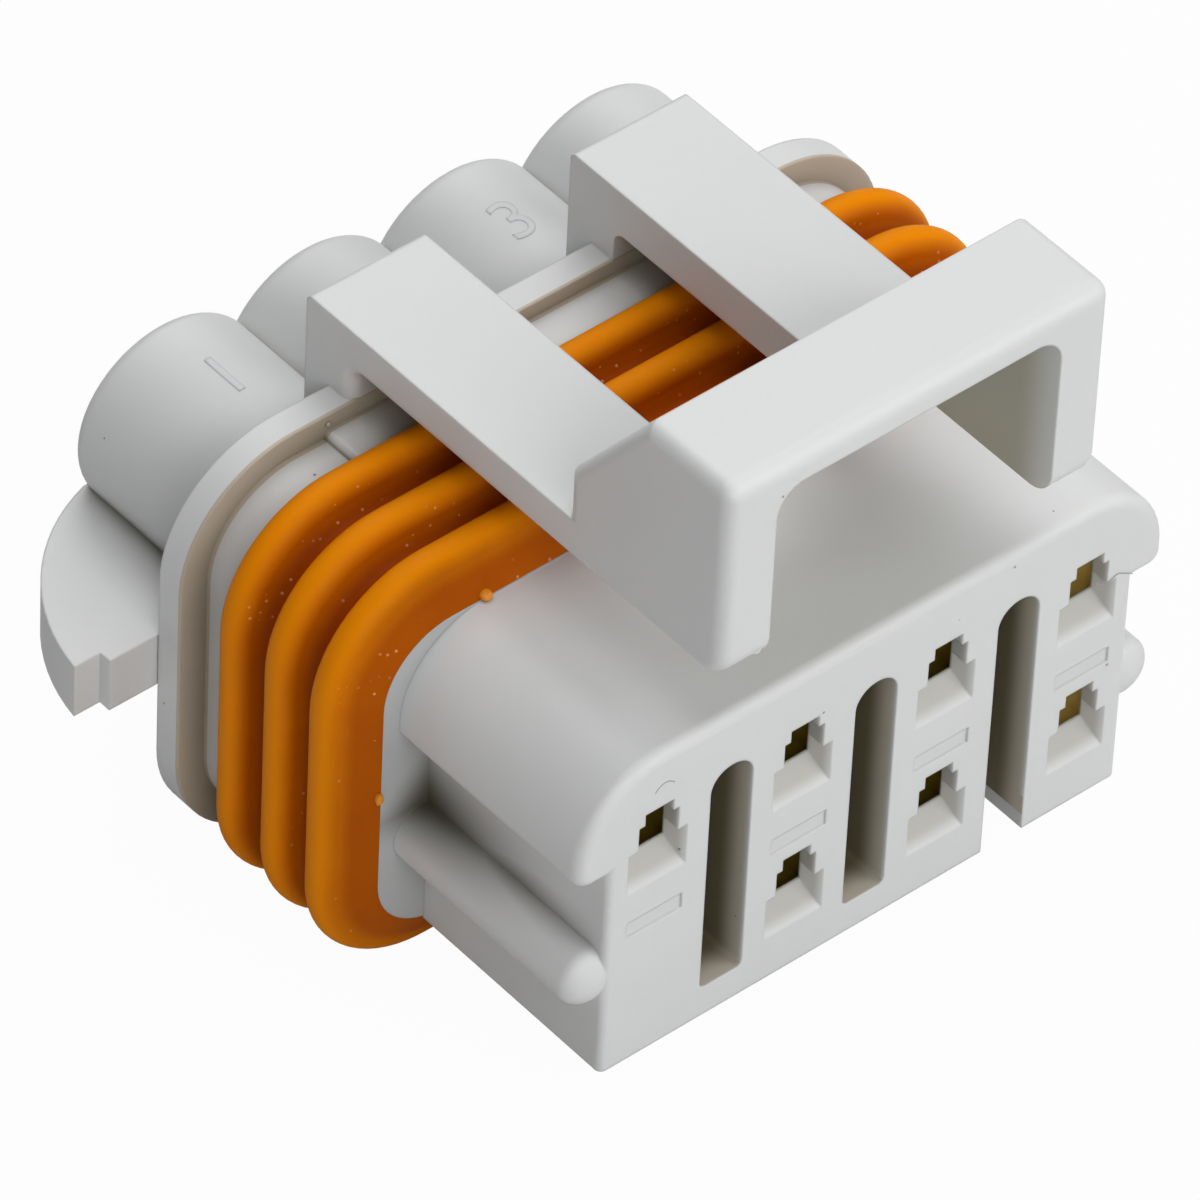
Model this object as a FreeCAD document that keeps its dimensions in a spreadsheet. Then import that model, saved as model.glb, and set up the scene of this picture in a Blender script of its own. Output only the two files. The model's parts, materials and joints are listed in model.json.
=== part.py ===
import FreeCAD, Part
import math
import os
import Sketcher

# Sealed wire-to-wire connector: one moulded housing and the ring seal on its core.
# Lengths are millimetres. X runs across the four columns, Y from the mating face
# (negative) to the wire side (positive), Z up. The origin is under the middle of the
# part, on the surface it rests on. Y sizes below count back from the mating face.

doc = FreeCAD.newDocument("sealed_connector")
sheet = doc.addObject("Spreadsheet::Sheet", "dims")

SIZES = {
    # where the mating face lies in front of the origin
    "mate_y": 14.15,
    # the grid of ways: four columns, two rows
    "pitch": 7.1,
    "axis_hi": 13.56,
    "row_gap": 6.8,
    # nose block that plugs into the mate
    "nose_half": 12.97,
    "nose_base": 2.2,
    "hood_half": 14.5,
    "hood_top": 17.65,
    "hood_lip": 12.65,
    "hood_round": 4.0,
    "lip_round": 0.65,
    "front_round": 0.5,
    "cheek_round": 0.3,
    "rib_off": 13.28,
    "rib_axis": 7.2,
    "rib_rad": 1.32,
    "rib_nose": 0.8,
    # deep slots between the columns
    "slot_half": 1.04,
    "slot_top": 15.02,
    "slot_base": 3.7,
    "slot_deep": 9.6,
    "slot_foot": 0.3,
    # core under the seal, shoulder behind it and flange
    "core_front": 10.4,
    "core_half": 15.3,
    "core_top": 17.7,
    "core_base": 2.2,
    "core_round": 3.2,
    "land_front": 17.85,
    "land_half": 16.05,
    "land_top": 18.65,
    "land_base": 1.25,
    "land_round": 4.1,
    "pad_half": 10.5,
    "pad_rise": 0.4,
    "flange_front": 19.95,
    "flange_thick": 1.3,
    "flange_half": 17.3,
    "flange_top": 19.75,
    "flange_base": 0.0,
    "flange_round": 5.4,
    # round wire towers at the back
    "tower_rad": 4.26,
    "tower_end": 29.6,
    "tower_round": 0.63,
    "web_inset": 0.6,
    # inside of each way
    "bore_rad": 2.9,
    "bore_deep": 12.0,
    "bore_lead": 0.35,
    "plug_deep": 2.0,
    "room_half": 1.65,
    "room_tall": 4.4,
    "wall_deep": 0.9,
    "mouth_top": 14.95,
    "mouth_step": 14.39,
    "mouth_wide": 13.19,
    "mouth_low": 11.15,
    "throat_low": 12.35,
    "slim_half": 0.69,
    "mid_half": 0.97,
    "wide_half": 1.43,
    "mark_half": 1.35,
    "mark_top": 9.6,
    "mark_tall": 0.75,
    "mark_deep": 0.08,
    # latch: two straps from the flange to the thumb bar
    "strap_out": 9.25,
    "strap_in": 3.65,
    "strap_low": 21.3,
    "strap_high": 23.4,
    "strap_back": 22.65,
    "post_front": 19.97,
    "post_foot": 16.0,
    "post_round": 0.6,
    "bar_back": 7.55,
    "bar_knee": 25.6,
    "bar_top": 31.0,
    "bar_crest": 3.45,
    "bar_over": 1.3,
    "bar_round": 0.7,
    "bar_toe": 1.2,
    "bar_side": 0.6,
    "arch_half": 6.9,
    "arch_top": 29.72,
    "arch_round": 1.3,
    "arch_back": 6.0,
    # side ears behind the flange
    "ear_low": 8.8,
    "ear_high": 11.4,
    "ear_out": 20.85,
    "ear_rad": 9.12,
    "ear_sweep": 73.2,
    "ear_inset": 0.2,
    "ear_front": 21.87,
    "ear_notch": 1.25,
    "ear_notch_deep": 0.57,
    # ring seal
    "seal_wall": 1.45,
    "rib_one": 11.8,
    "crest_rad": 0.75,
    "groove_rad": 0.575,
}


class Size:
    """A length that keeps both its sheet expression and its value."""

    def __init__(self, text, value):
        self.text = text
        self.value = value

    def __add__(self, other):
        other = size(other)
        return Size("(%s + %s)" % (self.text, other.text), self.value + other.value)

    def __radd__(self, other):
        return size(other) + self

    def __sub__(self, other):
        other = size(other)
        return Size("(%s - %s)" % (self.text, other.text), self.value - other.value)

    def __rsub__(self, other):
        return size(other) - self

    def __mul__(self, factor):
        return Size("(%s * %s)" % (self.text, factor), self.value * factor)

    def __rmul__(self, factor):
        return self * factor

    def __truediv__(self, factor):
        return Size("(%s / %s)" % (self.text, factor), self.value / factor)

    def __neg__(self):
        return Size("(0 - %s)" % self.text, -self.value)


def size(thing):
    """Return a named size, or wrap a plain number."""
    if isinstance(thing, Size):
        return thing
    if isinstance(thing, str):
        return Size("dims." + thing, SIZES[thing])
    return Size("%s" % thing, float(thing))


for row, (alias, value) in enumerate(SIZES.items(), start=1):
    sheet.set("A%d" % row, alias)
    sheet.set("B%d" % row, "%s" % value)
    sheet.setAlias("B%d" % row, alias)
doc.recompute()


def back(thing):
    """Y of a depth counted back from the mating face."""
    return size(thing) - size("mate_y")


def plane(body, role):
    """The body's own origin plane."""
    for feature in body.Origin.OriginFeatures:
        if feature.Role == role:
            return feature
    raise ValueError(role)


def new_sketch(body, name, role, offset):
    """A sketch on an origin plane, moved by an offset of three bound sizes."""
    sketch = body.newObject("Sketcher::SketchObject", name)
    sketch.AttachmentSupport = [(plane(body, role), "")]
    sketch.MapMode = "FlatFace"
    values = [size(part) for part in offset]
    base = FreeCAD.Vector(*[part.value for part in values])
    sketch.AttachmentOffset = FreeCAD.Placement(base, FreeCAD.Rotation())
    for axis, part in zip("xyz", values):
        sketch.setExpression("AttachmentOffset.Base." + axis, part.text)
    return sketch


def bind(sketch, kind, refs, bound, name):
    """Add one dimension to a sketch and tie it to the sheet."""
    bound = size(bound)
    index = sketch.addConstraint(Sketcher.Constraint(kind, *refs, bound.value))
    sketch.renameConstraint(index, name)
    sketch.setExpression("Constraints." + name, bound.text)


def outline(sketch, corners, tag=""):
    """Draw a closed outline anticlockwise; a corner is (x, y) or (x, y, radius).

    A rounded corner has one side along X and one along Y.
    """
    count = len(corners)
    points = []
    for corner in corners:
        across, along = size(corner[0]), size(corner[1])
        radius = size(corner[2]) if len(corner) > 2 else None
        points.append((across, along, radius))
    starts = []
    ends = []
    arcs = []
    for i in range(count):
        here = points[i]
        prev = points[i - 1]
        after = points[(i + 1) % count]
        spot = FreeCAD.Vector(here[0].value, here[1].value, 0)
        if here[2] is None:
            starts.append(spot)
            ends.append(spot)
            arcs.append(None)
            continue
        to_prev = FreeCAD.Vector(prev[0].value, prev[1].value, 0) - spot
        to_next = FreeCAD.Vector(after[0].value, after[1].value, 0) - spot
        to_prev.normalize()
        to_next.normalize()
        radius = here[2].value
        centre = spot + (to_prev + to_next) * radius
        sign_x = round(to_prev.x + to_next.x)
        sign_y = round(to_prev.y + to_next.y)
        first = spot + to_prev * radius
        last = spot + to_next * radius
        ends.append(first)
        starts.append(last)
        turn = to_next.cross(to_prev).z
        lead, trail = (first, last) if turn > 0 else (last, first)
        angle_a = math.atan2(lead.y - centre.y, lead.x - centre.x)
        angle_b = math.atan2(trail.y - centre.y, trail.x - centre.x)
        circle = Part.Circle(centre, FreeCAD.Vector(0, 0, 1), radius)
        arc = sketch.addGeometry(Part.ArcOfCircle(circle, angle_a, angle_b), False)
        arcs.append((arc, turn > 0, sign_x, sign_y))
    lines = []
    for i in range(count):
        segment = Part.LineSegment(starts[i], ends[(i + 1) % count])
        lines.append(sketch.addGeometry(segment, False))
    for i in range(count):
        before, after = lines[i - 1], lines[i]
        label = "%s%d" % (tag, i)
        if arcs[i] is None:
            sketch.addConstraint(Sketcher.Constraint("Coincident", before, 2, after, 1))
            bind(sketch, "DistanceX", (-1, 1, after, 1), points[i][0], "x" + label)
            bind(sketch, "DistanceY", (-1, 1, after, 1), points[i][1], "y" + label)
            continue
        arc, outward, sign_x, sign_y = arcs[i]
        into, out = (1, 2) if outward else (2, 1)
        sketch.addConstraint(Sketcher.Constraint("Tangent", before, 2, arc, into))
        sketch.addConstraint(Sketcher.Constraint("Tangent", arc, out, after, 1))
        radius = points[i][2]
        bind(sketch, "Radius", (arc,), radius, "r" + label)
        bind(sketch, "DistanceX", (-1, 1, arc, 3), points[i][0] + radius * sign_x, "x" + label)
        bind(sketch, "DistanceY", (-1, 1, arc, 3), points[i][1] + radius * sign_y, "y" + label)


def frame_corners(half, low, high, low_round, high_round):
    """Corners of an upright rounded rectangle, centred on X."""
    half = size(half)
    return [(-half, low, low_round), (half, low, low_round),
            (half, high, high_round), (-half, high, high_round)]


def volume(body):
    """Volume after a recompute, zero for an empty body."""
    doc.recompute()
    return body.Shape.Volume if not body.Shape.isNull() else 0.0


def extrude(body, name, sketch, length, kind="Pad", sense=True, both=False):
    """Pad or pocket a sketch by a bound length and see that it changed the body."""
    before = volume(body)
    feature = body.newObject("PartDesign::" + kind, name)
    feature.Profile = sketch
    feature.Type = "Length"
    feature.Reversed = sense
    if both:
        feature.SideType = "Symmetric"
    length = size(length)
    feature.Length = length.value
    feature.setExpression("Length", length.text)
    sketch.Visibility = False
    after = volume(body)
    gained = after - before
    if (kind == "Pad" and gained <= 0) or (kind == "Pocket" and gained >= 0):
        raise RuntimeError("%s changed nothing: %s" % (name, gained))
    return feature


def slab(body, name, corners, front, length, kind="Pad"):
    """A form drawn across X and Z, from a depth behind the mating face, going back."""
    sketch = new_sketch(body, name + "_sketch", "XZ_Plane", (0, 0, -back(front)))
    outline(sketch, corners)
    return extrude(body, name, sketch, length, kind, sense=(kind == "Pad"))


def repeat(body, name, originals, count):
    """Repeat features along the columns."""
    before = volume(body)
    pattern = body.newObject("PartDesign::LinearPattern", name)
    pattern.Originals = originals
    for feature in body.Origin.OriginFeatures:
        if feature.Role == "X_Axis":
            pattern.Direction = (feature, [""])
    pattern.Length = SIZES["pitch"] * (count - 1)
    pattern.setExpression("Length", "dims.pitch * %d" % (count - 1))
    pattern.Occurrences = count
    body.Tip = pattern
    after = volume(body)
    if abs(after - before) < 0.01:
        raise RuntimeError(name + " repeated nothing")
    return pattern


def soften(body, name, picked, radius):
    """Round the edges that the test picks."""
    doc.recompute()
    tip = body.Tip
    names = []
    for index, edge in enumerate(tip.Shape.Edges, start=1):
        if picked(edge):
            names.append("Edge%d" % index)
    if not names:
        raise RuntimeError(name + " found no edge")
    fillet = body.newObject("PartDesign::Fillet", name)
    fillet.Base = (tip, names)
    radius = size(radius)
    fillet.Radius = radius.value
    fillet.setExpression("Radius", radius.text)
    doc.recompute()
    if not fillet.isValid():
        raise RuntimeError(name + " failed")
    return fillet


def flat_at(edge, axis, value, slack=0.02):
    """True where an edge lies wholly at one level of an axis."""
    box = edge.BoundBox
    low = getattr(box, axis + "Min")
    high = getattr(box, axis + "Max")
    return abs(low - value) < slack and abs(high - value) < slack


housing = doc.addObject("PartDesign::Body", "housing")
housing.Label = "housing"

# Nose: a block under a wider hood whose edges overhang it on both sides
nose_sides = [
    (-size("nose_half"), "nose_base"),
    ("nose_half", "nose_base"),
    ("nose_half", "hood_lip"),
    ("hood_half", "hood_lip", "lip_round"),
    ("hood_half", "hood_top", "hood_round"),
    (-size("hood_half"), "hood_top", "hood_round"),
    (-size("hood_half"), "hood_lip", "lip_round"),
    (-size("nose_half"), "hood_lip"),
]
slab(housing, "nose", nose_sides, 0, size("core_front") + 1.0)
face_y = -SIZES["mate_y"]
soften(housing, "hood_rim",
       lambda edge: flat_at(edge, "Y", face_y) and edge.BoundBox.ZMin > SIZES["hood_lip"] - 0.05
       and not (flat_at(edge, "Z", SIZES["hood_lip"]) and edge.Length < 1.0), "front_round")
soften(housing, "cheek_rims",
       lambda edge: flat_at(edge, "Y", face_y) and edge.BoundBox.ZLength > 9.0,
       "cheek_round")

# Half-round rail along each flank, with a rounded front end
for side, sign in (("left", -1), ("right", 1)):
    rail = new_sketch(housing, "rail_%s_sketch" % side, "XZ_Plane",
                      (0, 0, -back("rib_nose")))
    centre = FreeCAD.Vector(sign * SIZES["rib_off"], SIZES["rib_axis"], 0)
    ring = rail.addGeometry(Part.Circle(centre, FreeCAD.Vector(0, 0, 1), SIZES["rib_rad"]))
    bind(rail, "Radius", (ring,), "rib_rad", "r")
    bind(rail, "DistanceX", (-1, 1, ring, 3), size("rib_off") * sign, "x")
    bind(rail, "DistanceY", (-1, 1, ring, 3), "rib_axis", "y")
    extrude(housing, "rail_" + side, rail, size("core_front") - size("rib_nose") + 0.5)

for side, sign in (("left", -1), ("right", 1)):
    tip = housing.newObject("PartDesign::AdditiveEllipsoid", "rail_end_" + side)
    tip.AttachmentSupport = [(plane(housing, "XZ_Plane"), "")]
    tip.MapMode = "FlatFace"
    for prop, bound in (("Radius1", size("rib_nose")), ("Radius2", size("rib_rad")),
                        ("Radius3", size("rib_rad")),
                        ("AttachmentOffset.Base.x", size("rib_off") * sign),
                        ("AttachmentOffset.Base.y", size("rib_axis")),
                        ("AttachmentOffset.Base.z", -back("rib_nose"))):
        tip.setExpression(prop, bound.text)
    doc.recompute()

# Core that the seal sits on, the shoulder behind it and the flange
slab(housing, "core", frame_corners("core_half", "core_base", "core_top",
                                    "core_round", "core_round"),
     "core_front", size("land_front") - size("core_front"))
slab(housing, "land", frame_corners("land_half", "land_base", "land_top",
                                    "land_round", "land_round"),
     "land_front", size("flange_front") - size("land_front"))
slab(housing, "land_pad", frame_corners("pad_half", size("land_top") - 2.0,
                                        size("land_top") + size("pad_rise"), 0.2, 0.3),
     "land_front", size("flange_front") - size("land_front"))
slab(housing, "flange", frame_corners("flange_half", "flange_base", "flange_top",
                                      "flange_round", "flange_round"),
     "flange_front", "flange_thick")


# Latch: side profile of post, strap and thumb bar, drawn in Y and Z
latch = new_sketch(housing, "latch_sketch", "YZ_Plane", (0, 0, 0))
outline(latch, [
    (-size("mate_y") - size("bar_over"), "strap_low", "bar_toe"),
    (back("post_front"), "strap_low", "post_round"),
    (back("post_front"), "post_foot"),
    (back("strap_back"), "post_foot"),
    (back("strap_back"), "strap_high", 0.3),
    (back("bar_back"), "strap_high"),
    (back("bar_back"), "bar_knee"),
    (back("bar_crest"), "bar_top"),
    (-size("mate_y") - size("bar_over"), "bar_top", "bar_round"),
])
extrude(housing, "latch", latch, 2 * size("strap_out"), sense=False, both=True)


def bar_corner(edge):
    """Edges round each end of the thumb bar, above the straps."""
    box = edge.BoundBox
    return (abs(abs(box.XMin) - SIZES["strap_out"]) < 0.02 and abs(box.XMax - box.XMin) < 0.02
            and box.ZMax > SIZES["strap_high"] + 0.1)


soften(housing, "bar_corners", bar_corner, "bar_side")

# Window between the straps and the arch under the thumb bar
window = new_sketch(housing, "window_sketch", "XY_Plane", (0, 0, "strap_high"))
outline(window, [(-size("strap_in"), back("bar_back")), ("strap_in", back("bar_back")),
                 ("strap_in", back("strap_back") + 1.0),
                 (-size("strap_in"), back("strap_back") + 1.0)])
extrude(housing, "window", window, size("strap_high") - size("flange_top"), "Pocket",
        sense=False)
flange_back = size("flange_front") + size("flange_thick")
slab(housing, "post_gap", [(-size("strap_in"), size("post_foot") - 0.5),
                           ("strap_in", size("post_foot") - 0.5),
                           ("strap_in", size("flange_top") + 0.5),
                           (-size("strap_in"), size("flange_top") + 0.5)],
     flange_back, size("strap_back") - flange_back + 0.5, "Pocket")
arch_low = size("strap_low") - 1.0
slab(housing, "arch", [(-size("arch_half"), arch_low), ("arch_half", arch_low),
                       ("arch_half", "arch_top", "arch_round"),
                       (-size("arch_half"), "arch_top", "arch_round")],
     -size("bar_over"), size("bar_over") + size("bar_crest") - 0.9, "Pocket")
hollow = new_sketch(housing, "hollow_sketch", "YZ_Plane", (0, 0, 0))
outline(hollow, [
    (back(0.5), arch_low),
    (back("arch_back"), arch_low),
    (back("arch_back"), size("bar_knee") - 0.4),
    (back(size("bar_crest") - 0.9), "arch_top"),
    (back(0.5), size("arch_top") - 1.4),
])
extrude(housing, "hollow", hollow, 2 * size("arch_half"), "Pocket", sense=False, both=True)


def tower_row(row, height):
    """Four round wire towers on one level, turned about their own axes."""
    start = back(size("flange_front") + size("flange_thick") - 0.3)
    sketch = new_sketch(housing, "tower_%s_sketch" % row, "XY_Plane",
                        (-1.5 * size("pitch"), 0, height))
    outline(sketch, [(0, start), ("tower_rad", start),
                     ("tower_rad", back("tower_end"), "tower_round"),
                     (0, back("tower_end"))])
    turned = housing.newObject("PartDesign::Revolution", "tower_" + row)
    turned.Profile = sketch
    turned.ReferenceAxis = (sketch, ["V_Axis"])
    turned.Angle = 360
    sketch.Visibility = False
    repeat(housing, "towers_" + row, [turned], 4)


axis_hi = size("axis_hi")
axis_lo = size("axis_hi") - size("row_gap")
tower_row("upper", axis_hi)
tower_row("lower", axis_lo)
slab(housing, "web", frame_corners(1.5 * size("pitch"), axis_lo, axis_hi, 0.3, 0.3),
     size("flange_front") + size("flange_thick") - 0.3,
     size("tower_end") - size("web_inset") - size("flange_front") - size("flange_thick") + 0.3)

# Ears: a flat wing on each side of the towers, round behind and notched in front
ear_end = back("tower_end") - size("ear_inset")
ear_hub_y = Size("(%s - dims.ear_rad * sin(dims.ear_sweep * 1deg))" % ear_end.text,
                 ear_end.value - SIZES["ear_rad"] * math.sin(math.radians(SIZES["ear_sweep"])))
ear_dip = back("ear_front") - ear_hub_y
ear_run = math.sqrt(SIZES["ear_rad"] ** 2 - ear_dip.value ** 2)
ear_hub_x = Size("(dims.ear_out - sqrt(dims.ear_rad ^ 2 - %s ^ 2))" % ear_dip.text,
                 SIZES["ear_out"] - ear_run)
for side, sign in (("left", -1), ("right", 1)):
    ear = new_sketch(housing, "ear_%s_sketch" % side, "XY_Plane", (0, 0, "ear_low"))
    step_x = size("ear_out") - size("ear_notch")
    side_y = back("ear_front") - size("ear_notch_deep")
    root_x = 1.5 * size("pitch")
    end_x = ear_hub_x.value + SIZES["ear_rad"] * math.cos(math.radians(SIZES["ear_sweep"]))
    spots = [(root_x.value, side_y.value), (step_x.value, side_y.value),
             (step_x.value, back("ear_front").value), (SIZES["ear_out"], back("ear_front").value),
             (end_x, ear_end.value), (root_x.value, ear_end.value)]
    spots = [FreeCAD.Vector(sign * x, y, 0) for x, y in spots]
    shape = []
    for first, second in ((0, 1), (1, 2), (2, 3), (4, 5), (5, 0)):
        shape.append(ear.addGeometry(Part.LineSegment(spots[first], spots[second])))
    hub = FreeCAD.Vector(sign * ear_hub_x.value, ear_hub_y.value, 0)
    wheel = Part.Circle(hub, FreeCAD.Vector(0, 0, 1), SIZES["ear_rad"])
    start = math.asin(ear_dip.value / SIZES["ear_rad"])
    stop = math.radians(SIZES["ear_sweep"])
    span = (start, stop) if sign > 0 else (math.pi - stop, math.pi - start)
    sweep = ear.addGeometry(Part.ArcOfCircle(wheel, span[0], span[1]))
    low_end, high_end = (1, 2) if sign > 0 else (2, 1)
    joins = ((shape[0], 2, shape[1], 1), (shape[1], 2, shape[2], 1),
             (shape[2], 2, sweep, low_end), (sweep, high_end, shape[3], 1),
             (shape[3], 2, shape[4], 1), (shape[4], 2, shape[0], 1))
    for join in joins:
        ear.addConstraint(Sketcher.Constraint("Coincident", *join))
    for line in (shape[0], shape[2], shape[3]):
        ear.addConstraint(Sketcher.Constraint("Horizontal", line))
    for line in (shape[1], shape[4]):
        ear.addConstraint(Sketcher.Constraint("Vertical", line))
    bind(ear, "DistanceX", (-1, 1, shape[0], 1), root_x * sign, "root_x")
    bind(ear, "DistanceY", (-1, 1, shape[0], 1), side_y, "side_y")
    bind(ear, "DistanceX", (-1, 1, shape[1], 1), step_x * sign, "step_x")
    bind(ear, "DistanceX", (-1, 1, sweep, 3), ear_hub_x * sign, "hub_x")
    bind(ear, "DistanceY", (-1, 1, sweep, 3), ear_hub_y, "hub_y")
    bind(ear, "Radius", (sweep,), "ear_rad", "round")
    bind(ear, "DistanceY", (-1, 1, shape[2], 2), back("ear_front"), "front_y")
    bind(ear, "DistanceY", (-1, 1, shape[3], 2), ear_end, "end_y")
    extrude(housing, "ear_" + side, ear, size("ear_high") - size("ear_low"), sense=False)

# Deep slots between the columns, the last one open at its foot
for place, foot in ((-1, "slot_base"), (0, "slot_base"), (1, size("nose_base") - 1.0)):
    middle = size("pitch") * place
    wall = size("slot_half")
    slab(housing, "slot_%d" % (place + 2),
         [(middle - wall, foot, "slot_foot"), (middle + wall, foot, "slot_foot"),
          (middle + wall, "slot_top", wall * 0.97), (middle - wall, "slot_top", wall * 0.97)],
         0, "slot_deep", "Pocket")


def mouth_corners(middle, drop):
    """Stepped opening in the front wall of one way, narrow above and wider below."""
    slim, mid = size("slim_half"), size("mid_half")
    low = size("throat_low") - drop
    step = size("mouth_step") - drop
    high = size("mouth_top") - drop
    return [(middle - mid, low), (middle + mid, low), (middle + mid, step),
            (middle + slim, step), (middle + slim, high), (middle - slim, high),
            (middle - slim, step), (middle - mid, step)]


def box_corners(middle, half, low, high):
    """Corners of a plain rectangle about a column."""
    return [(middle - half, low), (middle + half, low), (middle + half, high),
            (middle - half, high)]


def way_row(row, height, drop, first, count):
    """Open ways of one row: stepped mouth, lead-in, terminal room and wire bore."""
    middle = size("pitch") * first
    made = []
    made.append(slab(housing, "mouth_" + row, mouth_corners(middle, drop), 0,
                     size("wall_deep") + 0.2, "Pocket"))
    outer = new_sketch(housing, "lead_%s_outer" % row, "XZ_Plane", (0, 0, -back(0)))
    outline(outer, box_corners(middle, size("wide_half"), size("mouth_low") - drop,
                               size("mouth_wide") - drop))
    inner = new_sketch(housing, "lead_%s_inner" % row, "XZ_Plane", (0, 0, -back("wall_deep")))
    outline(inner, box_corners(middle, size("mid_half"), size("throat_low") - drop,
                               size("mouth_wide") - drop))
    before = volume(housing)
    lead = housing.newObject("PartDesign::SubtractiveLoft", "lead_" + row)
    lead.Profile = outer
    lead.Sections = [inner]
    lead.Ruled = True
    outer.Visibility = False
    inner.Visibility = False
    if volume(housing) >= before:
        raise RuntimeError("lead-in cut nothing")
    made.append(lead)
    half_tall = size("room_tall") / 2
    made.append(slab(housing, "room_" + row,
                     box_corners(middle, size("room_half"), height - half_tall,
                                 height + half_tall), "wall_deep",
                     size("tower_end") - size("bore_deep") - size("wall_deep") + 0.5,
                     "Pocket"))
    made.append(bore(row, height, middle, size("bore_deep")))
    repeat(housing, "ways_" + row, made, count)


def bore(name, height, middle, deep):
    """Round wire bore from the back of a tower, with a small lead at its rim."""
    end = back("tower_end")
    sketch = new_sketch(housing, "bore_%s_sketch" % name, "XY_Plane", (middle, 0, height))
    lead = size("bore_lead")
    outline(sketch, [(0, end - deep), ("bore_rad", end - deep), ("bore_rad", end - lead),
                     (size("bore_rad") + lead, end), (0, end)])
    before = volume(housing)
    groove = housing.newObject("PartDesign::Groove", "bore_" + name)
    groove.Profile = sketch
    groove.ReferenceAxis = (sketch, ["V_Axis"])
    groove.Angle = 360
    sketch.Visibility = False
    if volume(housing) >= before:
        raise RuntimeError("bore cut nothing")
    return groove


way_row("upper", axis_hi, size(0), -1.5, 4)
way_row("lower", axis_lo, size("row_gap"), -0.5, 3)
bore("blank", axis_lo, -1.5 * size("pitch"), size("plug_deep"))

# Shallow mark under each way of the upper row
mark = slab(housing, "mark", box_corners(-1.5 * size("pitch"), size("mark_half"),
                                         size("mark_top") - size("mark_tall"), "mark_top"),
            0, "mark_deep", "Pocket")
repeat(housing, "marks", [mark], 4)

# Ring seal: a waved section carried round the core
seal = doc.addObject("PartDesign::Body", "ring_seal")
seal.Label = "ring_seal"
path = new_sketch(seal, "seal_path", "XZ_Plane", (0, 0, -back("rib_one")))
outline(path, frame_corners("core_half", "core_base", "core_top", "core_round", "core_round"))
section = new_sketch(seal, "seal_section", "XY_Plane",
                     ("core_half", 0, (size("core_base") + size("core_top")) / 2))
crest = size("crest_rad")
groove = size("groove_rad")
wall = size("seal_wall")
step = 2 * (crest + groove)
front = back("rib_one") - crest
end = back("rib_one") + 2 * step + crest
toe = back("core_front")
foot = section.addGeometry(Part.LineSegment(FreeCAD.Vector(0, end.value, 0),
                                            FreeCAD.Vector(0, toe.value, 0)))
near = section.addGeometry(Part.LineSegment(FreeCAD.Vector(0, toe.value, 0),
                                            FreeCAD.Vector(wall.value, front.value, 0)))
far = section.addGeometry(Part.LineSegment(FreeCAD.Vector(wall.value, end.value, 0),
                                           FreeCAD.Vector(0, end.value, 0)))
waves = []
spot = front
for turn in range(5):
    bulge = turn % 2 == 0
    radius = crest if bulge else groove
    middle = spot + radius
    circle = Part.Circle(FreeCAD.Vector(wall.value, middle.value, 0),
                         FreeCAD.Vector(0, 0, 1), radius.value)
    if bulge:
        arc = Part.ArcOfCircle(circle, -math.pi / 2, math.pi / 2)
    else:
        arc = Part.ArcOfCircle(circle, math.pi / 2, 1.5 * math.pi)
    waves.append((section.addGeometry(arc), bulge, middle, radius))
    spot = middle + radius
section.addConstraint(Sketcher.Constraint("Coincident", foot, 2, near, 1))
section.addConstraint(Sketcher.Constraint("Coincident", near, 2, waves[0][0], 1))
section.addConstraint(Sketcher.Constraint("Coincident", waves[4][0], 2, far, 1))
section.addConstraint(Sketcher.Constraint("Coincident", far, 2, foot, 1))
section.addConstraint(Sketcher.Constraint("Vertical", foot))
section.addConstraint(Sketcher.Constraint("Horizontal", far))
bind(section, "DistanceX", (-1, 1, foot, 2), 0, "foot_x")
bind(section, "DistanceY", (-1, 1, foot, 2), toe, "toe_y")
for order, (arc, bulge, middle, radius) in enumerate(waves):
    bind(section, "DistanceX", (-1, 1, arc, 3), wall, "cx%d" % order)
    bind(section, "DistanceY", (-1, 1, arc, 3), middle, "cy%d" % order)
    bind(section, "Radius", (arc,), radius, "cr%d" % order)
    bind(section, "DistanceX", (-1, 1, arc, 1), wall, "sx%d" % order)
    bind(section, "DistanceX", (-1, 1, arc, 2), wall, "ex%d" % order)
swept = seal.newObject("PartDesign::AdditivePipe", "seal_sweep")
swept.Profile = section
swept.Spine = path
swept.Mode = "Standard"
swept.Transition = "Transformed"
doc.recompute()

for item in doc.Objects:
    bad = [word for word in item.State if word in ("Invalid", "Error")]
    if bad:
        raise RuntimeError("%s is %s" % (item.Name, bad))

os.makedirs("parts", exist_ok=True)
for body in (housing, seal):
    shape = body.Shape
    if shape.isNull() or not shape.isValid() or not shape.Solids:
        raise RuntimeError(body.Label + " has no valid shape")
    print(body.Label, len(shape.Solids), round(shape.Volume, 1), shape.BoundBox)
    shape.exportStep("parts/%s.step" % body.Label)
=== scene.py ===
import bpy
import bmesh
import json
import math
from mathutils import Matrix, Vector, noise


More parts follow.
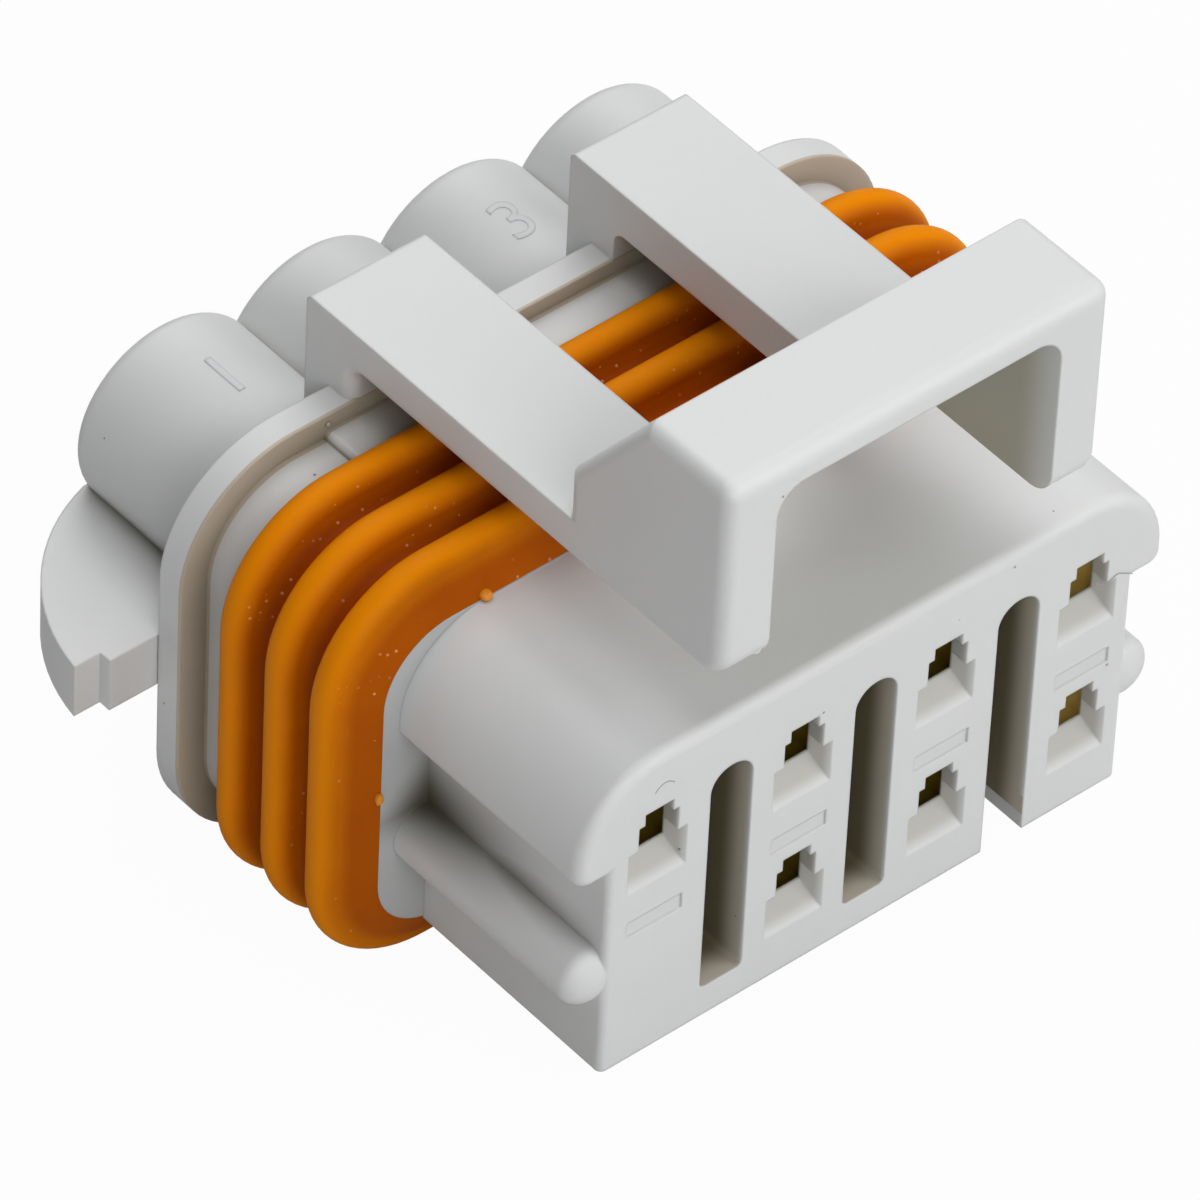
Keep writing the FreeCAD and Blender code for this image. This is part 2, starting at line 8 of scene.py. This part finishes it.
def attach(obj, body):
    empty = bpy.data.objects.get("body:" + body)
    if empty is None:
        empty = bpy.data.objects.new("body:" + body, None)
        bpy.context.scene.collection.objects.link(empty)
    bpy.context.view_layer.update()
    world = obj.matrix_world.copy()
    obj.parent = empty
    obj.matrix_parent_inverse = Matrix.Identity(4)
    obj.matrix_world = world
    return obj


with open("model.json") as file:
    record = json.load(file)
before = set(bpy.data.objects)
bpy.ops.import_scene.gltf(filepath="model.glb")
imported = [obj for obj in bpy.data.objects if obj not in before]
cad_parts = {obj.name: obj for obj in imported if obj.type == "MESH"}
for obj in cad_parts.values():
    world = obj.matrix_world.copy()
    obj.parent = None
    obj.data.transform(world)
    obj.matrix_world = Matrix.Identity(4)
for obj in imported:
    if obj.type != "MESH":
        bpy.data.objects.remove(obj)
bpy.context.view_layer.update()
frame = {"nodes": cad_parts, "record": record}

# Camera and bench. A long lens looks down on the left front corner of the
# connector, which lies on a white bench under four large soft lamps and a pale
# sky. The bench shows white to the camera and keeps a faint shadow.

class Thread:
    """One value running through a material; sums on it add their nodes."""

    def __init__(self, recipe, socket):
        self.recipe = recipe
        self.socket = socket

    def reckon(self, operation, left, right=None):
        sockets = {0: left} if right is None else {0: left, 1: right}
        return self.recipe.add("ShaderNodeMath", {"operation": operation}, sockets).out()

    def __add__(self, other):
        return self.reckon("ADD", self, other)

    def __radd__(self, other):
        return self.reckon("ADD", other, self)

    def __sub__(self, other):
        return self.reckon("SUBTRACT", self, other)

    def __rsub__(self, other):
        return self.reckon("SUBTRACT", other, self)

    def __mul__(self, other):
        return self.reckon("MULTIPLY", self, other)

    def __rmul__(self, other):
        return self.reckon("MULTIPLY", other, self)

    def __truediv__(self, other):
        return self.reckon("DIVIDE", self, other)

    def __gt__(self, other):
        return self.reckon("GREATER_THAN", self, other)

    def __lt__(self, other):
        return self.reckon("LESS_THAN", self, other)

    def __abs__(self):
        return self.reckon("ABSOLUTE", self)

    def over(self, low, high):
        """Rises softly from 0 to 1 while the value goes from low to high."""
        return self.recipe.add("ShaderNodeMapRange", {"interpolation_type": "SMOOTHSTEP"},
                               {"Value": self, "From Min": low, "From Max": high}).out()


class Step:
    """One node of a material, with its outlets by name or number."""

    def __init__(self, recipe, node):
        self.recipe = recipe
        self.node = node

    def out(self, name=0):
        return Thread(self.recipe, self.node.outputs[name])


class Recipe:
    """The nodes of a material, or of the world, made step by step."""

    def __init__(self, owner):
        owner.use_nodes = True
        self.owner = owner
        self.tree = owner.node_tree
        self.tree.nodes.clear()

    def add(self, kind, settings=None, sockets=None):
        node = self.tree.nodes.new(kind)
        for key, value in (settings or {}).items():
            setattr(node, key, value)
        for key, value in (sockets or {}).items():
            if isinstance(value, Thread):
                self.tree.links.new(value.socket, node.inputs[key])
            else:
                node.inputs[key].default_value = value
        return Step(self, node)

    def between(self, share, first, second):
        """A colour that goes from the first to the second."""
        mix = self.add("ShaderNodeMix", {"data_type": "RGBA"}, {0: share, 6: first, 7: second})
        return mix.out(2)

    def finish(self, surface, outlet="ShaderNodeOutputMaterial"):
        self.add(outlet, None, {"Surface": surface})
        return self.owner


LENS_MM = 383.767
EYE = Vector((-0.236138, -0.259776, 0.349220))
TURN, RISE, LEAN = math.radians(-42.104), math.radians(44.159), math.radians(2.9215)

behind = Vector((math.sin(TURN) * math.cos(RISE), -math.cos(TURN) * math.cos(RISE), math.sin(RISE)))
level = (-behind).cross(Vector((0, 0, 1))).normalized()
upright = level.cross(-behind)
across = math.cos(LEAN) * level + math.sin(LEAN) * upright
upward = -math.sin(LEAN) * level + math.cos(LEAN) * upright
camera_data = bpy.data.cameras.new("camera")
camera_data.lens = LENS_MM
camera_data.sensor_width = 36.0
camera_data.sensor_fit = "HORIZONTAL"
camera_data.clip_start = 0.01
camera_data.clip_end = 20.0
camera = bpy.data.objects.new("camera", camera_data)
bpy.context.scene.collection.objects.link(camera)
pose = Matrix((across, upward, behind)).transposed().to_4x4()
camera.matrix_world = Matrix.Translation(EYE) @ pose
bpy.context.scene.camera = camera
bpy.context.scene.view_settings.view_transform = "Standard"

LAID_WHITE = (0.60, 0.60, 0.60, 1)
PLAIN_WHITE = (1.0, 1.0, 1.0, 1)
BENCH_SHOWN = 0.965
BENCH_HALF = 3.0
SKY_STRENGTH = 0.12

bench_skin = Recipe(bpy.data.materials.new("bench_white"))
to_eye = bench_skin.add("ShaderNodeLightPath")
matte = bench_skin.add("ShaderNodeBsdfDiffuse", None, {"Color": LAID_WHITE})
glow = bench_skin.add("ShaderNodeEmission", None, {"Color": PLAIN_WHITE, "Strength": 1.0})
seen = to_eye.out("Is Camera Ray") * BENCH_SHOWN
bench_mix = bench_skin.add("ShaderNodeMixShader", None, {0: seen, 1: matte.out(), 2: glow.out()})
bench_skin.finish(bench_mix.out())
sheet = bmesh.new()
bmesh.ops.create_grid(sheet, x_segments=1, y_segments=1, size=BENCH_HALF)
bench_mesh = bpy.data.meshes.new("bench")
sheet.to_mesh(bench_mesh)
sheet.free()
bench = bpy.data.objects.new("bench", bench_mesh)
bench_mesh.materials.append(bench_skin.owner)
bpy.context.scene.collection.objects.link(bench)

bpy.context.scene.world = bpy.data.worlds.new("pale_sky")
sky = Recipe(bpy.context.scene.world)
sky_ray = sky.add("ShaderNodeLightPath")
sky_light = sky.add("ShaderNodeBackground", None, {"Color": PLAIN_WHITE, "Strength": SKY_STRENGTH})
sky_seen = sky.add("ShaderNodeBackground", None, {"Color": PLAIN_WHITE, "Strength": 1.0})
sky_mix = sky.add("ShaderNodeMixShader", None,
                  {0: sky_ray.out("Is Camera Ray"), 1: sky_light.out(), 2: sky_seen.out()})
sky.finish(sky_mix.out(), "ShaderNodeOutputWorld")


def hang_lamp(name, place, side, watts):
    """A large square soft lamp that faces the connector."""
    data = bpy.data.lights.new(name, "AREA")
    data.shape = "SQUARE"
    data.size = side
    data.energy = watts
    lamp = bpy.data.objects.new(name, data)
    lamp.location = place
    lamp.rotation_euler = (Vector(place) - AIM).to_track_quat("Z", "Y").to_euler()
    bpy.context.scene.collection.objects.link(lamp)


AIM = Vector((0.0, 0.0, 0.012))
hang_lamp("lamp_above", (0.05, 0.12, 0.55), 0.5, 1.42)
hang_lamp("lamp_behind", (0.30, 0.35, 0.40), 0.4, 0.90)
hang_lamp("lamp_front_right", (0.30, -0.42, 0.30), 0.4, 1.47)
hang_lamp("lamp_front_left", (-0.20, -0.45, 0.30), 0.4, 1.38)


# Housing. One injection moulding in pale grey nylon: nose, core, flange, wire
# towers and the arched latch are a single piece. The satin skin has a faint
# spark-eroded grain and a few dark specks. Its colour also holds painted shade,
# darker and warmer in hollows, creases, slots, the arch, the flange's rim and
# the strip of core, and olive down in the ways, with a brighter painted glow in
# the rightmost column of ways.

MM = 0.001
mounts = {mount["name"]: mount for mount in frame["record"]["mounts"]}
FACE_Y = mounts["mating_face"]["pos_m"][1]
PITCH = 7.1 * MM
NOSE_HALF = 12.97 * MM
CORE_FRONT = 10.4 * MM
RAIL_FOOT, RAIL_TOP, HOOD_LIP = 5.8 * MM, 8.6 * MM, 12.6 * MM
CAVITY_HALF, CAVITY_LOW, CAVITY_TOP, CAVITY_BACK = 12.4 * MM, 2.9 * MM, 16.0 * MM, 18.0 * MM
SLOT_SHARE, SLOT_FOOT, WAY_SHARE = 0.16, 3.85 * MM, 0.2
ARCH_HALF, ARCH_LOW, ARCH_TOP, ARCH_BACK = 6.96 * MM, 18.5 * MM, 29.8 * MM, 6.3 * MM
BAR_BACK_HEIGHT, BAR_BACK_LEAN, BAR_BACK = 25.6 * MM, 0.76, 6.6 * MM
FLANGE_FRONT, FLANGE_EDGE, FLANGE_TOP = 19.75 * MM, 20.1 * MM, 19.8 * MM
GREY_LIGHT = (0.705, 0.717, 0.718, 1)
GREY_DULL = (0.665, 0.674, 0.668, 1)
# Painted shade: the dark warm tone that closed-in hollows and corners are painted towards.
HOLLOW_PAINTED_SHADE = (0.230, 0.205, 0.150, 1)
# Painted shade and painted orange bounce light from the seal, on the flange's front face.
RIM_PAINTED_SHADE = (0.480, 0.395, 0.275, 1)
# Painted shade inside the arch of the latch.
ARCH_PAINTED_SHADE = (0.430, 0.415, 0.340, 1)
# Painted shade on the lead-ins of the ways.
LEAD_IN_PAINTED_SHADE = (0.495, 0.488, 0.452, 1)
# Painted shade at the mouths and floors of the slots.
SLOT_MOUTH_PAINTED_SHADE = (0.540, 0.505, 0.425, 1)
# Painted shade deep inside the slots.
SLOT_DEEP_PAINTED_SHADE = (0.160, 0.140, 0.082, 1)
# Painted shade down in the ways, and a bright painted glow for the rightmost column of ways.
WAY_PAINTED_SHADE = (0.300, 0.210, 0.020, 1)
WAY_PAINTED_GLOW = (0.950, 0.760, 0.260, 1)
# Painted shade on the strip of the core's front face between the hood and the seal.
STRIP_PAINTED_SHADE = (0.400, 0.405, 0.405, 1)
# Painted shade in the crease where the rail, the nose wall and the core meet.
RECESS_PAINTED_SHADE = (0.080, 0.068, 0.042, 1)
SPECK_BROWN = (0.100, 0.085, 0.060, 1)


def grey_nylon():
    skin = Recipe(bpy.data.materials.new("grey_nylon"))
    place = skin.add("ShaderNodeTexCoord").out("Object")
    spot = skin.add("ShaderNodeSeparateXYZ", None, {0: place})
    rightward, depth, height = spot.out(0), spot.out(1) - FACE_Y, spot.out(2)
    across = abs(rightward)
    cloud = skin.add("ShaderNodeTexNoise", None,
                     {"Vector": place, "Scale": 160.0, "Detail": 3.0, "Roughness": 0.6}).out()
    grain = skin.add("ShaderNodeTexNoise", None,
                     {"Vector": place, "Scale": 9000.0, "Detail": 2.0, "Roughness": 0.5}).out()
    fleck = skin.add("ShaderNodeTexVoronoi", {"feature": "F1"},
                     {"Vector": place, "Scale": 1500.0, "Randomness": 1.0})
    lottery = skin.add("ShaderNodeSeparateColor", None, {0: fleck.out("Color")}).out(0)
    speck = (lottery > 0.985) * (fleck.out("Distance") < 0.10) * 0.7
    column = across / PITCH
    off_slot = abs(column - column.reckon("ROUND", column))
    cavity = ((across < CAVITY_HALF) * (height > CAVITY_LOW) * (height < CAVITY_TOP)
              * (depth < CAVITY_BACK))
    # Painted shade: the slots' walls just behind the mating face, and their upward-facing floors,
    # are tinted a darker beige.
    slot_mouth_shade = cavity * (off_slot < SLOT_SHARE) * depth.over(0.02 * MM, 0.40 * MM)
    # Painted shade: further in, the slots are painted dark olive.
    slot_deep_shade = cavity * (off_slot < SLOT_SHARE) * depth.over(0.25 * MM, 1.6 * MM)
    slot_floor_shade = cavity * (off_slot < SLOT_SHARE) * (height < SLOT_FOOT) * (depth > 0.02 * MM)
    slot_mouth_shade = slot_mouth_shade.reckon("MAXIMUM", slot_mouth_shade, slot_floor_shade)
    # Painted shade: the first 0.4 mm into each way is darkened to a warm grey.
    lead_in_shade = cavity * (off_slot > WAY_SHARE) * depth.over(0.0, 0.4 * MM)
    # Painted shade and painted light: deep in the ways the colour turns dark umber, and a bright
    # ochre glow in the rightmost column.
    way_depth_shade = cavity * (off_slot > WAY_SHARE) * depth.over(0.85 * MM, 1.6 * MM)
    # Painted shade: the inside of the latch's arch, behind its front, is tinted a dull olive.
    slope = depth + (height - BAR_BACK_HEIGHT) * BAR_BACK_LEAN
    under_arch = (across < ARCH_HALF) * (height > ARCH_LOW) * (height < ARCH_TOP)
    before_bar_back = (depth < ARCH_BACK) * (slope < BAR_BACK)
    arch_shade = under_arch * before_bar_back * depth.over(-1.3 * MM, 0.9 * MM)
    # Painted shade: the flange's front face beside the seal is tinted a darker warm beige for its
    # shade and the seal's orange bounce light.
    flange_rim_shade = (depth > FLANGE_FRONT) * (depth < FLANGE_EDGE) * (height < FLANGE_TOP)
    # Painted shade: the crease between rail, nose wall and core is darkened, more deeply towards
    # the back.
    off_crease = abs(across - NOSE_HALF) + abs(height - RAIL_TOP)
    by_rail = ((across > NOSE_HALF - 0.07 * MM) * (height > RAIL_FOOT) * (height < HOOD_LIP)
               * (depth < 12.0 * MM))
    deep_crease = off_crease.over(3.6 * MM, 0.0) * depth.over(2.0 * MM, 11.5 * MM)
    long_crease = off_crease.over(1.5 * MM, 0.0) * depth.over(-1.0 * MM, 6.0 * MM)
    rail_recess_shade = by_rail * deep_crease.reckon("MAXIMUM", deep_crease, long_crease * 0.55)
    # Painted shade: where ambient occlusion finds the skin closed in, its grey is darkened towards
    # a warm shade; the mating face and all in front of it are left out.
    open_air = skin.add("ShaderNodeAmbientOcclusion", {"samples": 8}, {"Distance": 4.0 * MM}).out(1)
    way_shade_and_glow = skin.between(rightward > PITCH, WAY_PAINTED_SHADE, WAY_PAINTED_GLOW)
    tone = skin.between(cloud, GREY_DULL, GREY_LIGHT)
    tone = skin.between(flange_rim_shade * 0.8, tone, RIM_PAINTED_SHADE)
    daylight = open_air.over(0.05, 0.62)
    daylight = daylight.reckon("MAXIMUM", daylight, depth < 0.15 * MM)
    tone = skin.between(daylight, HOLLOW_PAINTED_SHADE, tone)
    # Painted shade: the core's front face, in the pocket under the hood's lip by the seal, is
    # darkened.
    core_strip_shade = (abs(depth - CORE_FRONT) < 0.03 * MM) * (height < FLANGE_TOP) * (1.0 - cavity)
    tone = skin.between(core_strip_shade * 0.65, tone, STRIP_PAINTED_SHADE)
    tone = skin.between(rail_recess_shade, tone, RECESS_PAINTED_SHADE)
    tone = skin.between(arch_shade, tone, ARCH_PAINTED_SHADE)
    tone = skin.between(slot_mouth_shade, tone, SLOT_MOUTH_PAINTED_SHADE)
    tone = skin.between(slot_deep_shade, tone, SLOT_DEEP_PAINTED_SHADE)
    tone = skin.between(lead_in_shade, tone, LEAD_IN_PAINTED_SHADE)
    tone = skin.between(way_depth_shade, tone, way_shade_and_glow)
    tone = skin.between(speck, tone, SPECK_BROWN)
    worn = skin.add("ShaderNodeBevel", {"samples": 6}, {"Radius": 0.15 * MM}).out()
    relief = skin.add("ShaderNodeBump", None, {"Strength": 0.12, "Distance": 0.03 * MM,
                                               "Height": grain, "Normal": worn}).out()
    body = skin.add("ShaderNodeBsdfPrincipled", {"subsurface_method": "RANDOM_WALK"}, {
        "Base Color": tone, "Roughness": cloud * 0.10 + grain * 0.06 + 0.38, "Normal": relief,
        "IOR": 1.5, "Subsurface Weight": 0.2, "Subsurface Radius": (1.0, 0.85, 0.6),
        "Subsurface Scale": 0.5 * MM})
    return skin.finish(body.out())


housing = frame["nodes"]["housing"]
housing.data.materials.clear()
housing.data.materials.append(grey_nylon())


# Ring seal. A moulded ring of orange silicone stretched round the core, with
# three rounded ribs that squeeze against the header. The skin is softly glossy,
# with painted shade darker and redder in the grooves, and holds a few pale crumbs.

RIB_ONE = 11.8 * MM
RIB_STEP = 2.65 * MM
ORANGE_CREST = (0.820, 0.252, 0.0005, 1)
# Painted shade: the darker, redder orange of the grooves.
ORANGE_PAINTED_SHADE = (0.400, 0.068, 0.0003, 1)
CRUMB_PALE = (0.900, 0.480, 0.250, 1)


def orange_silicone():
    skin = Recipe(bpy.data.materials.new("orange_silicone"))
    place = skin.add("ShaderNodeTexCoord").out("Object")
    spot = skin.add("ShaderNodeSeparateXYZ", None, {0: place})
    depth = spot.out(1) - FACE_Y
    turns = (depth - RIB_ONE) * (2 * math.pi / RIB_STEP)
    crest = turns.reckon("COSINE", turns)
    cloud = skin.add("ShaderNodeTexNoise", None,
                     {"Vector": place, "Scale": 300.0, "Detail": 4.0, "Roughness": 0.6}).out()
    grain = skin.add("ShaderNodeTexNoise", None,
                     {"Vector": place, "Scale": 5000.0, "Detail": 2.0, "Roughness": 0.5}).out()
    fleck = skin.add("ShaderNodeTexVoronoi", {"feature": "F1"},
                     {"Vector": place, "Scale": 2500.0, "Randomness": 1.0})
    lottery = skin.add("ShaderNodeSeparateColor", None, {0: fleck.out("Color")}).out(0)
    patchy = skin.add("ShaderNodeTexNoise", None,
                      {"Vector": place, "Scale": 300.0, "Detail": 1.0}).out().over(0.42, 0.60)
    low_down = 1.0 - crest.over(-0.2, 0.8)
    on_top = spot.out(2).over(13.0 * MM, 16.5 * MM)
    strewn = patchy * low_down * on_top + (lottery > 0.97) * 0.6
    strewn = strewn.reckon("MINIMUM", strewn, 1.0)
    crumb = (lottery > 0.45) * (fleck.out("Distance") < 0.16) * strewn
    # Painted shade: the grooves between the ribs are darker and redder, the front collar a little
    # less so, and the rear ribs darker still; noise varies it.
    rib_shading = crest.reckon("MAXIMUM", crest, (depth < 11.0 * MM) * 0.34 - 1.0)
    rib_shading = rib_shading + cloud * 0.4 - depth.over(12.6 * MM, 15.2 * MM) * 0.25
    tone = skin.between(rib_shading.over(-0.85, 0.95), ORANGE_PAINTED_SHADE, ORANGE_CREST)
    tone = skin.between(crumb * 0.6, tone, CRUMB_PALE)
    relief = skin.add("ShaderNodeBump", None,
                      {"Strength": 0.10, "Distance": 0.04 * MM, "Height": grain}).out()
    body = skin.add("ShaderNodeBsdfPrincipled", {"subsurface_method": "RANDOM_WALK"}, {
        "Base Color": tone, "Roughness": cloud * 0.12 + 0.42, "Normal": relief,
        "IOR": 1.43, "Specular IOR Level": 0.06, "Subsurface Weight": 0.2,
        "Subsurface Radius": (1.0, 0.30, 0.05), "Subsurface Scale": 0.5 * MM})
    return skin.finish(body.out())


ring_seal = frame["nodes"]["ring_seal"]
ring_seal.data.materials.clear()
ring_seal.data.materials.append(orange_silicone())


# Moulding traces. Shallow plain numbers stand on the four upper towers, one for
# each column, and a half ring left by an ejector pin marks the nose. All of it
# is the housing's own nylon.

TOWER_AXIS = 13.56 * MM
TOWER_RADIUS = 4.26 * MM
NUMBER_HEIGHT = 2.2 * MM
NUMBER_RISE = 0.035 * MM
NUMBER_SUNK = 0.105 * MM
NUMBER_Y = 11.4 * MM
CAPITAL_SHARE = 0.7
MIDDLE_TOWER = 2.5


def settle(name, data, material):
    """Give a finished mesh its material and put it on the connector's body."""
    piece = bpy.data.objects.new(name, data)
    bpy.context.scene.collection.objects.link(piece)
    data.materials.clear()
    data.materials.append(material)
    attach(piece, "root")


def tower_number(digit):
    """A raised digit that lies on the round top of its tower."""
    letter = bpy.data.curves.new("digit", "FONT")
    letter.body = str(digit)
    letter.size = NUMBER_HEIGHT / CAPITAL_SHARE
    letter.align_x = "CENTER"
    letter.align_y = "CENTER"
    letter.extrude = NUMBER_RISE
    blank = bpy.data.objects.new("digit", letter)
    shape = bpy.data.meshes.new_from_object(blank)
    bpy.data.objects.remove(blank)
    tower_x = (digit - MIDDLE_TOWER) * PITCH
    form = bmesh.new()
    form.from_mesh(shape)
    bmesh.ops.remove_doubles(form, verts=form.verts, dist=0.001 * MM)
    for point in form.verts:
        rise = NUMBER_RISE if point.co.z > 0 else -NUMBER_SUNK
        bend = math.sqrt(TOWER_RADIUS ** 2 - point.co.x ** 2)
        point.co = Vector((tower_x + point.co.x, NUMBER_Y + point.co.y, TOWER_AXIS + bend + rise))
    bmesh.ops.recalc_face_normals(form, faces=form.faces)
    form.to_mesh(shape)
    form.free()
    settle("tower_number_%d" % digit, shape, grey)


grey = housing.data.materials[0]
for digit in (1, 2, 3, 4):
    tower_number(digit)


def thread_line(name, spots, radius):
    """A round line along a few spots, as a mesh."""
    line = bpy.data.curves.new(name, "CURVE")
    line.dimensions = "3D"
    line.bevel_depth = radius
    line.bevel_resolution = 2
    line.use_fill_caps = True
    run = line.splines.new("NURBS")
    run.points.add(len(spots) - 1)
    for point, spot in zip(run.points, spots):
        point.co = (*spot, 1)
    run.order_u = 3
    run.use_endpoint_u = True
    blank = bpy.data.objects.new(name, line)
    mesh = bpy.data.meshes.new_from_object(blank)
    bpy.data.objects.remove(blank)
    return mesh


RING_MIDDLE = Vector((-10.45 * MM, FACE_Y, 15.62 * MM))
RING_RADIUS = 0.52 * MM
RING_LINE = 0.025 * MM
ring_spots = [RING_MIDDLE + RING_RADIUS * Vector((math.cos(way), 0, math.sin(way)))
              for way in (math.radians(turn) for turn in range(30, 156, 25))]
settle("ejector_mark", thread_line("ejector_mark", ring_spots, RING_LINE), grey)


# Nibs and lint. A torn nib of flash hangs on the toe of the thumb bar, two nibs
# of silicone stand at the seal's front edge, two crumbs of nylon lie by the
# flange, and a thin grey hair lies over the right upper mouth.

LUMP_FINENESS = 4000
LUMP_SHARE = 0.3


def nib(name, middle, reach, material, seed):
    """A lump with an uneven skin, set half into what it sits on; its sizes are in mm."""
    form = bmesh.new()
    place = Matrix.Translation(Vector(middle) * MM) @ Matrix.Diagonal(Vector(reach) * MM).to_4x4()
    bmesh.ops.create_icosphere(form, subdivisions=3, radius=1.0, matrix=place)
    for point in form.verts:
        lump = noise.noise(point.co * LUMP_FINENESS + Vector((seed, 0, 0)))
        point.co += point.normal * lump * LUMP_SHARE * min(reach) * MM
    mesh = bpy.data.meshes.new(name)
    form.to_mesh(mesh)
    form.free()
    for face in mesh.polygons:
        face.use_smooth = True
    settle(name, mesh, material)


def mottled(name, first, second, grain, roughness):
    """A small dull skin whose colour wavers between two."""
    skin = Recipe(bpy.data.materials.new(name))
    place = skin.add("ShaderNodeTexCoord").out("Object")
    wave = skin.add("ShaderNodeTexNoise", None, {"Vector": place, "Scale": grain}).out()
    body = skin.add("ShaderNodeBsdfPrincipled", None,
                    {"Base Color": skin.between(wave, first, second), "Roughness": roughness})
    return skin.finish(body.out())


torn = mottled("torn_silicone", (0.70, 0.24, 0.004, 1), (0.90, 0.34, 0.020, 1), 2500.0, 0.45)
lint = mottled("lint_grey", (0.26, 0.25, 0.24, 1), (0.48, 0.46, 0.43, 1), 3000.0, 0.6)
nib("flash_nib", (-7.10, -15.02, 21.60), (0.22, 0.10, 0.16), grey, 1.0)
nib("silicone_nib_top", (-10.50, -3.78, 17.84), (0.27, 0.26, 0.18), torn, 2.0)
nib("silicone_nib_side", (-15.42, -3.78, 10.10), (0.17, 0.22, 0.26), torn, 3.0)
nib("crumb_one", (-10.35, 5.76, 19.35), (0.12, 0.08, 0.10), grey, 4.0)
nib("crumb_two", (-15.10, 5.76, 15.90), (0.07, 0.06, 0.12), grey, 5.0)

HAIR_Y = FACE_Y - 0.03 * MM
HAIR_RADIUS = 0.02 * MM
HAIR_RUN = ((10.95, 13.66), (11.30, 13.30), (11.75, 13.26), (12.10, 13.45), (12.50, 13.22),
            (12.90, 12.96))
hair_spots = [(x * MM, HAIR_Y, z * MM) for x, z in HAIR_RUN]
settle("hair", thread_line("hair", hair_spots, HAIR_RADIUS), lint)
